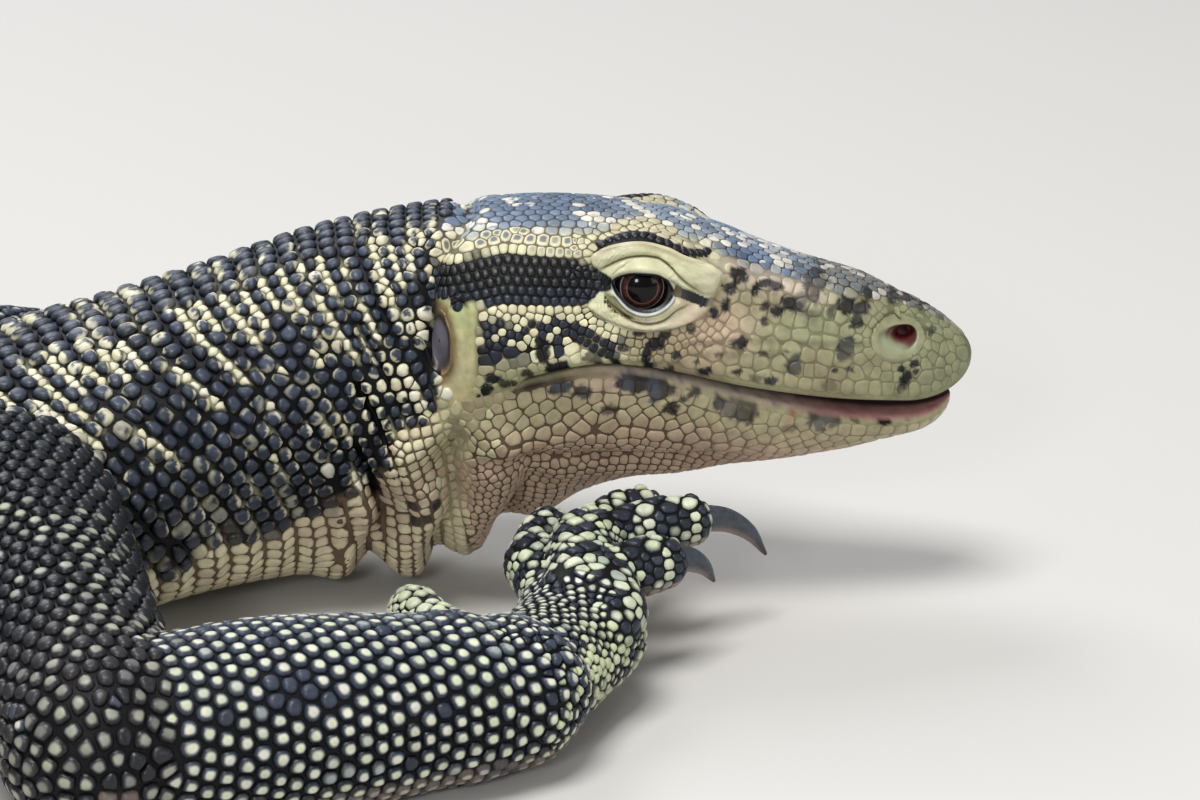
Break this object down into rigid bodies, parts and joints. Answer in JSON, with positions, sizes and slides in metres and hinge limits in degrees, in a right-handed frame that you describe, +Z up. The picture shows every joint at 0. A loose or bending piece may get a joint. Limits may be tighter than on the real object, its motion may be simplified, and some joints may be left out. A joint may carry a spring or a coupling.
{
  "type": "water monitor lizard",
  "caption": "Life-size resting water monitor lizard, belly and tail on the ground, head held low over its right hand, limbs sprawled, long tail swept aside",
  "frame": {"origin": "centre of the bounding box's foot, on the ground", "axes": "+X the way the head looks and the body's long way, +Y to the animal's left, +Z up"},
  "size_m": [1.266, 0.6062, 0.0787],
  "materials": {
    "dark_hide": "slate-black beaded scales with irregular cream spots, satin",
    "head_hide": "cream to yellow-green head plates with slate-black blotches, satin",
    "spotted_hide": "slate-black scales with rows of round pale yellow spots, satin",
    "horn": "blue-grey horn, smooth, darker at the tip",
    "eye": "wet dark brown eye with a round black pupil",
    "eardrum": "smooth taut grey membrane"
  },
  "bodies": {
    "root": {"claw_foot_left_1": "horn", "claw_foot_left_2": "horn", "claw_foot_left_3": "horn", "claw_foot_left_4": "horn", "claw_foot_left_5": "horn", "claw_foot_right_1": "horn", "claw_foot_right_2": "horn", "claw_foot_right_3": "horn", "claw_foot_right_4": "horn", "claw_foot_right_5": "horn", "claw_hand_left_1": "horn", "claw_hand_left_2": "horn", "claw_hand_left_3": "horn", "claw_hand_left_4": "horn", "claw_hand_left_5": "horn", "claw_hand_right_1": "horn", "claw_hand_right_2": "horn", "claw_hand_right_3": "horn", "claw_hand_right_4": "horn", "claw_hand_right_5": "horn", "ear_left": "eardrum", "ear_right": "eardrum", "eye_left": "eye", "eye_right": "eye", "foot_left": "spotted_hide", "foot_right": "spotted_hide", "forearm_left": "spotted_hide", "forearm_right": "spotted_hide", "hand_left": "spotted_hide", "hand_right": "spotted_hide", "head": "head_hide", "lower_jaw": "head_hide", "neck": "dark_hide", "shank_left": "spotted_hide", "shank_right": "spotted_hide", "tail_base": "dark_hide", "tail_middle": "dark_hide", "tail_tip": "dark_hide", "thigh_left": "spotted_hide", "thigh_right": "spotted_hide", "trunk_front": "dark_hide", "trunk_rear": "dark_hide", "upper_arm_left": "spotted_hide", "upper_arm_right": "spotted_hide"}
  },
  "joints": []
}
